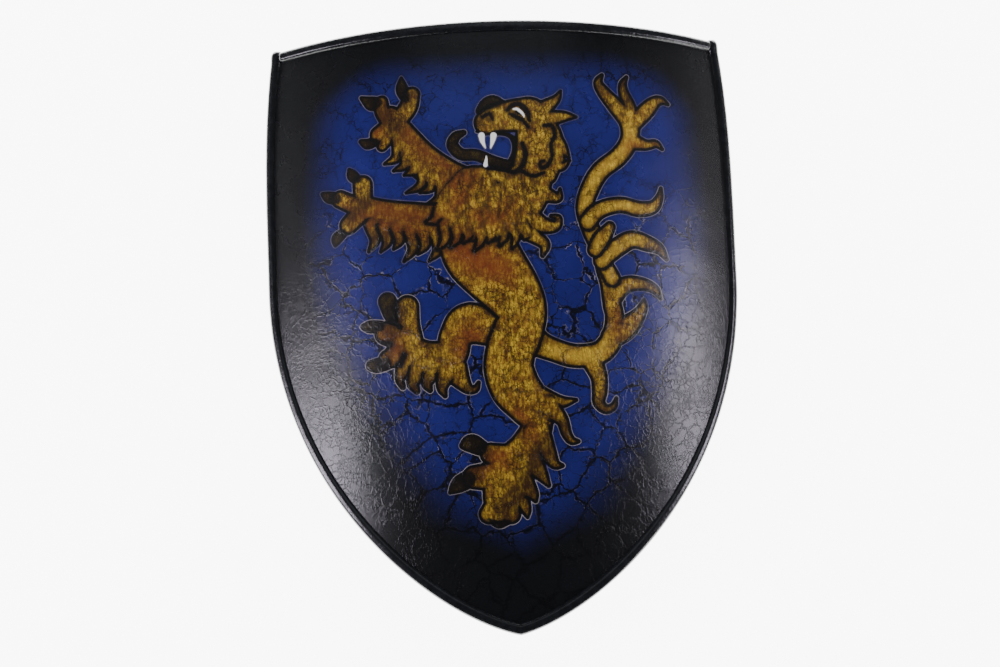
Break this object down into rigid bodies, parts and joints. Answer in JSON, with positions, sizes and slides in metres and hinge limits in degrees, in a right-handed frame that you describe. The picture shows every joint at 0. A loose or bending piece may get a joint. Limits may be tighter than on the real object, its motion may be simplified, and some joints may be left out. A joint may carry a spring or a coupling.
{
  "type": "heater shield",
  "caption": "Rolled heater shield with a raised rim, a painted rampant lion on a dark blue field, and a forearm strap and grip on its back.",
  "frame": {"origin": "centre of the bounding box's floor, on the surface that the shield lies on face up", "axes": "+Z out of the painted face, +Y from the tip to the top edge, +X to the right as the face is seen with the tip down"},
  "size_m": [0.6144, 0.7674, 0.1073],
  "materials": {
    "painted_skin": "semi-gloss painted latex, dark blue field with black edges and crackle, gold-brown lion",
    "rim_skin": "semi-gloss black latex",
    "strap_leather": "satin black-brown leather",
    "screw_steel": "satin steel"
  },
  "bodies": {
    "root": {"board": "painted_skin", "rim_side": "rim_skin", "rim_top": "rim_skin", "forearm_strap": "strap_leather", "grip_strap": "strap_leather", "forearm_screw_1": "screw_steel", "forearm_screw_2": "screw_steel", "forearm_screw_3": "screw_steel", "forearm_screw_4": "screw_steel", "grip_screw_1": "screw_steel", "grip_screw_2": "screw_steel", "grip_screw_3": "screw_steel", "grip_screw_4": "screw_steel"}
  },
  "joints": []
}
